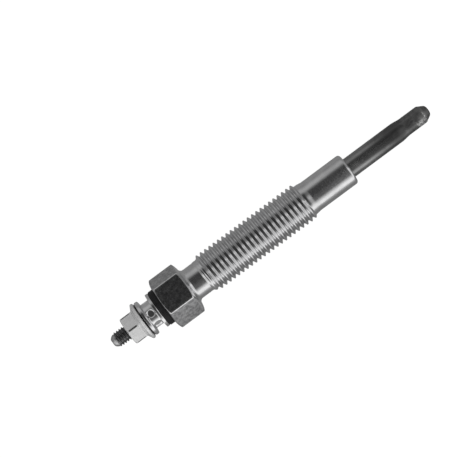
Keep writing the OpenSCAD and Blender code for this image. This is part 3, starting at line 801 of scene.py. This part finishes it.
def grainyMaterial(f):
    material, tree, shader = newMaterial(f["name"])
    grain = noise(tree, plugCoordinates(tree), *f["grain"])
    tree.links.new(toned(tree, grain, f["dark"], f["light"]), shader.inputs["Base Color"])
    tree.links.new(graded(tree, grain, f["smooth"], f["rough"]), shader.inputs["Roughness"])
    shader.inputs["Metallic"].default_value = f["metal"]
    bumped(tree, shader, grain, *f["bump"])
    return material


steel = platedSteel(steelFinish)
rolled = rolledSteel(studFinish)
alloy = oxidisedAlloy(sheathFinish)
rubber = grainyMaterial(rubberFinish)
powder = grainyMaterial(powderFinish)
wire = grainyMaterial(wireFinish)
satin = satinZinc(zincFinish, nutShape["corner"])
bright = brightZinc(collarFinish, collarShape["rear"], collarShape["step"])
black = mouldedBlack(bushFinish)
print("materials made")

# each piece with its material, its slot in the record and the solid that it stands for
pieces = [
    (terminalRod, rolled, "rod_steel", "terminal_rod"),
    (studThread, rolled, "rod_steel", None),
    (flangeNut, satin, "nut_steel", "flange_nut"),
    (crimpCollar, bright, "collar_steel", "crimp_collar"),
    (insulatingBush, black, "black_plastic", "insulating_bush"),
    (housingBody, steel, "plated_steel", "housing"),
    (housingThread, steel, "plated_steel", None),
    (heaterSheath, alloy, "oxidised_alloy", "heater_sheath"),
]
for piece, material, slot, node in pieces:
    piece.data.materials.append(material)
    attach(piece, "root")
    if node:
        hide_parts(node)
for node, material in (("o_ring", rubber), ("sheath_seal", rubber), ("magnesia_fill", powder),
                       ("control_coil", wire), ("heating_coil", wire)):
    mesh = frame["nodes"][node].data
    mesh.materials.clear()
    mesh.materials.append(material)
print("pieces dressed:", len(pieces))

# floor: white to the camera with a faint shadow; glossy rays see it glow, with a painted shadow, grey beside
# the plug, and painted light that grows paler with distance on the lit side; seen has stops of (place across
# the plug in mm, grey), and half and gap are in metres
floorLook = {
    "half": 1.5, "gap": 0.00002, "white": 0.95, "shadowShare": 0.12, "matte": 0.8,
    "seen": [(-50, 1.1), (-37, 0.54), (-26, 0.46), (-20, 0.36), (-12, 0.24), (0, 0.24), (15, 0.31)],
}


def makeFloor(f):
    verts = np.array([(-1, -1, 0), (1, -1, 0), (1, 1, 0), (-1, 1, 0)], float) * f["half"]
    verts[:, 2] = cadBox[0].z - f["gap"]
    mesh = bpy.data.meshes.new("floor")
    mesh.from_pydata(verts.tolist(), [], [(0, 1, 2, 3)])
    floor = bpy.data.objects.new("floor", mesh)
    scene.collection.objects.link(floor)
    material, tree, shader = newMaterial("paleFloor")
    tree.nodes.remove(shader)
    path = addNode(tree, "ShaderNodeLightPath")
    y = parted(tree, addNode(tree, "ShaderNodeTexCoord").outputs["Object"])["Y"]
    first, last = f["seen"][0][0], f["seen"][-1][0]
    share = shareOf(tree, y, mm * first, mm * last)
    # glow for glossy rays: painted shadow beside the plug, painted light farther out on the lit side
    seen = addNode(tree, "ShaderNodeEmission", {
        "Color": ramped(tree, share, greyStops(f["seen"], first, last))})
    matte = addNode(tree, "ShaderNodeBsdfDiffuse", {"Color": (f["matte"],) * 3 + (1,)})
    white = addNode(tree, "ShaderNodeEmission", {"Strength": f["white"]})
    shaded = addNode(tree, "ShaderNodeBsdfDiffuse", {"Color": (f["shadowShare"],) * 3 + (1,)})
    toCamera = addNode(tree, "ShaderNodeAddShader", {0: white.outputs[0], 1: shaded.outputs[0]})
    toOthers = addNode(tree, "ShaderNodeMixShader", {
        "Fac": path.outputs["Is Glossy Ray"], 1: matte.outputs[0], 2: seen.outputs[0]})
    final = addNode(tree, "ShaderNodeMixShader", {
        "Fac": path.outputs["Is Camera Ray"], 1: toOthers.outputs[0], 2: toCamera.outputs[0]})
    tree.links.new(final.outputs[0], tree.nodes["Material Output"].inputs["Surface"])
    mesh.materials.append(material)


makeFloor(floorLook)

# world: white behind everything for the camera; metal sees a soft studio, dark overhead and pale at the
# sides; stops are (degrees from straight up towards the lit side, grey), strip square to the plug and ends
# towards its two ends, and the one gives way to the other as the direction's x goes from endsFrom to endsTo
studio = {
    "strip": [(-180, 0.2), (-92, 0.24), (-78, 0.38), (-62, 0.47), (-48, 0.42), (-38, 0.2), (-28, 0.06),
              (-5, 0.05), (12, 0.06), (30, 0.11), (46, 0.14), (56, 0.3), (66, 0.75), (78, 1.15), (92, 1.2),
              (180, 0.3)],
    "ends": [(-180, 0.2), (-95, 0.25), (-60, 0.4), (-35, 0.3), (-20, 0.25), (-8, 0.45), (3, 0.9), (14, 1.0),
             (30, 0.75), (60, 0.9), (75, 1.15), (95, 1.2), (180, 0.3)],
    "endsFrom": 0.2, "endsTo": 0.5,
}


def makeWorld(w):
    world = bpy.data.worlds.new("softStudio")
    scene.world = world
    world.use_nodes = True
    tree = world.node_tree
    tree.nodes.clear()
    way = addNode(tree, "ShaderNodeTexCoord").outputs["Generated"]
    share = shareOf(tree, leanOf(tree, way), -math.pi, math.pi)
    strip, ends = (ramped(tree, share, greyStops(w[part], -180, 180)) for part in ("strip", "ends"))
    lengthwise = maths(tree, "ABSOLUTE", parted(tree, way)["X"])
    toEnds = spread(tree, lengthwise, w["endsFrom"], w["endsTo"], 0.0, 1.0)
    light = addNode(tree, "ShaderNodeBackground", {"Color": mixed(tree, toEnds, strip, ends)})
    white = addNode(tree, "ShaderNodeBackground", {"Color": (1, 1, 1, 1)})
    path = addNode(tree, "ShaderNodeLightPath")
    final = addNode(tree, "ShaderNodeMixShader", {
        "Fac": path.outputs["Is Camera Ray"], 1: light.outputs[0], 2: white.outputs[0]})
    output = addNode(tree, "ShaderNodeOutputWorld")
    tree.links.new(final.outputs[0], output.inputs["Surface"])


makeWorld(studio)

# a wide soft lamp for everything that isn't metal, out of the metal's sight and aimed at the origin
lampLook = {"size": 0.6, "place": (0.05, -0.12, 0.7), "power": 3.0}


def makeLamp(f):
    data = bpy.data.lights.new("softLamp", "AREA")
    data.size = f["size"]
    data.energy = f["power"]
    lamp = bpy.data.objects.new("softLamp", data)
    lamp.location = f["place"]
    lamp.rotation_euler = (-Vector(f["place"])).to_track_quat("-Z", "Y").to_euler()
    lamp.visible_glossy = False
    scene.collection.objects.link(lamp)


makeLamp(lampLook)

# camera: over the plug, leaning to the lit side; the plug's axis climbs to the right across the frame;
# distance, fieldWidth and clip are in metres, sensor and the two aims in mm
cameraLook = {
    "distance": 0.42, "lean": math.radians(9.2), "climb": math.radians(36.55), "aimAlong": 23.84,
    "aimUpLeft": 4.74, "fieldWidth": 0.10965, "sensor": 36.0, "clip": (0.01, 10.0),
}


def makeCamera(c):
    back = math.cos(c["lean"]) * up + math.sin(c["lean"]) * across
    upLeft = np.cross(back, along)
    right = math.cos(c["climb"]) * along - math.sin(c["climb"]) * upLeft
    above = math.sin(c["climb"]) * along + math.cos(c["climb"]) * upLeft
    aim = zeroPoint + mm * (c["aimAlong"] * along + c["aimUpLeft"] * upLeft)
    data = bpy.data.cameras.new("camera")
    data.sensor_width = c["sensor"]
    data.lens = c["sensor"] * c["distance"] / c["fieldWidth"]
    data.clip_start, data.clip_end = c["clip"]
    camera = bpy.data.objects.new("camera", data)
    turn = Matrix((right, above, back)).transposed().to_4x4()
    camera.matrix_world = Matrix.Translation(Vector(aim + c["distance"] * back)) @ turn
    scene.collection.objects.link(camera)
    scene.camera = camera


makeCamera(cameraLook)
print("floor, light and camera set")

bpy.context.view_layer.update()
